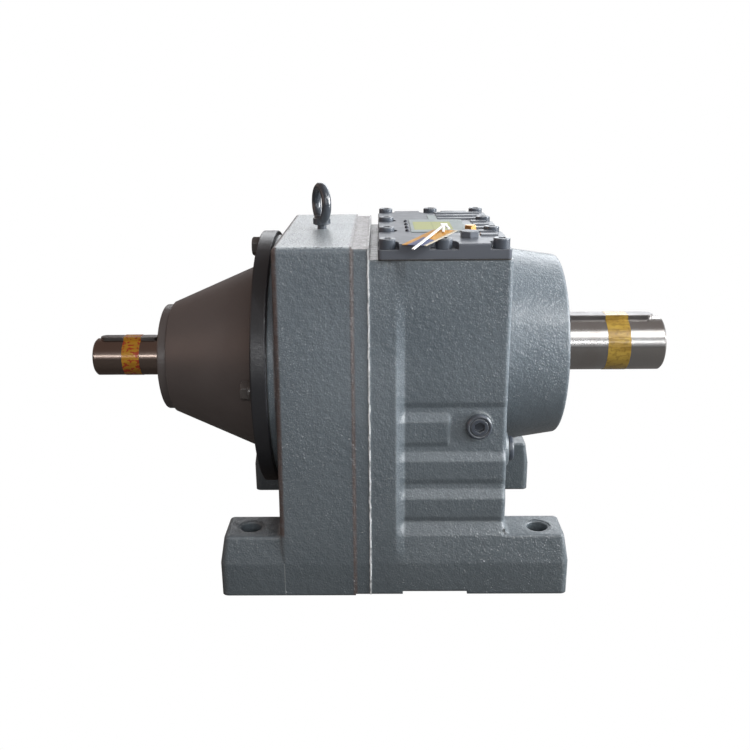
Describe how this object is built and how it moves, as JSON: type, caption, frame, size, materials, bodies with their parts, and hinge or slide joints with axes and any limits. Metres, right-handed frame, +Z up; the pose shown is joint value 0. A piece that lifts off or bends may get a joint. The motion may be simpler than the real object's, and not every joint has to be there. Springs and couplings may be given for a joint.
{
  "type": "inline gear reducer",
  "caption": "Foot-mounted inline gear reducer with a conical input cover, keyed solid shafts at both ends, a bolted inspection lid and a lifting eye.",
  "frame": {"origin": "centre of the four foot holes, on the plane that the feet stand on", "axes": "+X along the shafts towards the output end, +Z up, -Y towards the side with the oil level plug"},
  "size_m": [0.6371, 0.3088, 0.4094],
  "materials": {
    "casting_paint": "blue-grey machine paint over a hammered cast surface",
    "cover_paint": "blue-grey machine paint, satin",
    "lid_paint": "blue-grey machine paint, satin",
    "black_screw_steel": "blackened steel, overpainted",
    "painted_bolts": "blue-grey machine paint",
    "eye_bolt_steel": "dark drop-forged steel",
    "brass": "turned brass",
    "gasket_paper": "sealing paper",
    "copper_washer": "soft copper",
    "name_plate_metal": "printed aluminium",
    "pin_steel": "drive pins",
    "tag_card": "printed card",
    "tie_plastic": "white nylon",
    "seal_rubber": "nitrile rubber on a metal case",
    "ground_shaft_steel": "turned and ground",
    "key_steel": "drawn steel",
    "yellow_tape": "yellow adhesive tape",
    "gold_tape": "clear golden adhesive tape",
    "gear_steel": "hardened and ground, oiled",
    "spacer_steel": "turned",
    "bearing_steel": "ground bearing steel",
    "cage_and_ball_steel": "polished balls in a steel cage"
  },
  "bodies": {
    "casing": {"breather_plug": "brass", "closing_caps": "painted_bolts", "countershaft_a_front_bearing_outer_ring": "bearing_steel", "countershaft_a_rear_bearing_outer_ring": "bearing_steel", "countershaft_b_front_bearing_outer_ring": "bearing_steel", "countershaft_b_rear_bearing_outer_ring": "bearing_steel", "end_plug": "black_screw_steel", "eye_bolt": "eye_bolt_steel", "housing": "casting_paint", "input_cover": "cover_paint", "input_cover_bolts": "painted_bolts", "input_cover_gasket": "gasket_paper", "input_cover_washers": "painted_bolts", "input_inner_bearing_outer_ring": "bearing_steel", "input_nose_bearing_outer_ring": "bearing_steel", "input_oil_seal": "seal_rubber", "inspection_lid": "lid_paint", "lid_gasket": "gasket_paper", "lid_screws": "black_screw_steel", "lid_vent_plug": "lid_paint", "name_plate": "name_plate_metal", "name_plate_pins": "pin_steel", "oil_level_plug": "black_screw_steel", "output_bearing_circlip": "spacer_steel", "output_inner_bearing_outer_ring": "bearing_steel", "output_oil_seal": "seal_rubber", "output_outer_bearing_outer_ring": "bearing_steel", "paper_tag": "tag_card", "plug_washers": "copper_washer", "tag_tie": "tie_plastic"},
    "input_rotor": {"input_shaft": "ground_shaft_steel", "input_key": "key_steel", "input_tape": "yellow_tape", "input_pinion": "gear_steel", "input_nose_bearing_inner_ring": "bearing_steel", "input_inner_bearing_inner_ring": "bearing_steel"},
    "countershaft_a_rotor": {"countershaft_a": "gear_steel", "first_stage_wheel": "gear_steel", "countershaft_a_front_bearing_inner_ring": "bearing_steel", "countershaft_a_rear_bearing_inner_ring": "bearing_steel"},
    "countershaft_b_rotor": {"countershaft_b": "gear_steel", "second_stage_wheel": "gear_steel", "countershaft_b_spacer": "spacer_steel", "countershaft_b_front_bearing_inner_ring": "bearing_steel", "countershaft_b_rear_bearing_inner_ring": "bearing_steel"},
    "output_rotor": {"output_shaft": "ground_shaft_steel", "output_wheel": "gear_steel", "output_spacer": "spacer_steel", "output_key": "key_steel", "output_tape": "gold_tape", "output_inner_bearing_inner_ring": "bearing_steel", "output_outer_bearing_inner_ring": "bearing_steel"},
    "input_cages": {"input_nose_bearing_balls_and_cage": "cage_and_ball_steel", "input_inner_bearing_balls_and_cage": "cage_and_ball_steel"},
    "countershaft_a_cages": {"countershaft_a_front_bearing_balls_and_cage": "cage_and_ball_steel", "countershaft_a_rear_bearing_balls_and_cage": "cage_and_ball_steel"},
    "countershaft_b_cages": {"countershaft_b_front_bearing_balls_and_cage": "cage_and_ball_steel", "countershaft_b_rear_bearing_balls_and_cage": "cage_and_ball_steel"},
    "output_cages": {"output_inner_bearing_balls_and_cage": "cage_and_ball_steel", "output_outer_bearing_balls_and_cage": "cage_and_ball_steel"}
  },
  "joints": [
    {"name": "output_spin", "type": "hinge", "parent": "casing", "child": "output_rotor", "pos_m": [0.1, 0, 0.229], "axis": [1, 0, 0], "continuous": true},
    {"name": "countershaft_b_spin", "type": "hinge", "parent": "casing", "child": "countershaft_b_rotor", "pos_m": [0, 0, 0.0995], "axis": [1, 0, 0], "continuous": true},
    {"name": "countershaft_a_spin", "type": "hinge", "parent": "casing", "child": "countershaft_a_rotor", "pos_m": [-0.06, 0.05558, 0.17344], "axis": [1, 0, 0], "continuous": true},
    {"name": "input_spin", "type": "hinge", "parent": "casing", "child": "input_rotor", "pos_m": [-0.19, 0, 0.216], "axis": [1, 0, 0], "continuous": true},
    {"name": "output_cage_spin", "type": "hinge", "parent": "casing", "child": "output_cages", "pos_m": [0.1, 0, 0.229], "axis": [1, 0, 0], "continuous": true},
    {"name": "countershaft_b_cage_spin", "type": "hinge", "parent": "casing", "child": "countershaft_b_cages", "pos_m": [0, 0, 0.0995], "axis": [1, 0, 0], "continuous": true},
    {"name": "countershaft_a_cage_spin", "type": "hinge", "parent": "casing", "child": "countershaft_a_cages", "pos_m": [-0.06, 0.05558, 0.17344], "axis": [1, 0, 0], "continuous": true},
    {"name": "input_cage_spin", "type": "hinge", "parent": "casing", "child": "input_cages", "pos_m": [-0.19, 0, 0.216], "axis": [1, 0, 0], "continuous": true}
  ],
  "couplings": [
    {"joint": "countershaft_b_spin", "follows": "output_spin", "ratio": -3.3529},
    {"joint": "countershaft_a_spin", "follows": "output_spin", "ratio": 9.7059},
    {"joint": "input_spin", "follows": "output_spin", "ratio": -30.26},
    {"joint": "output_cage_spin", "follows": "output_spin", "ratio": 0.41},
    {"joint": "countershaft_b_cage_spin", "follows": "output_spin", "ratio": -1.3076},
    {"joint": "countershaft_a_cage_spin", "follows": "output_spin", "ratio": 3.6106},
    {"joint": "input_cage_spin", "follows": "output_spin", "ratio": -11.68}
  ]
}
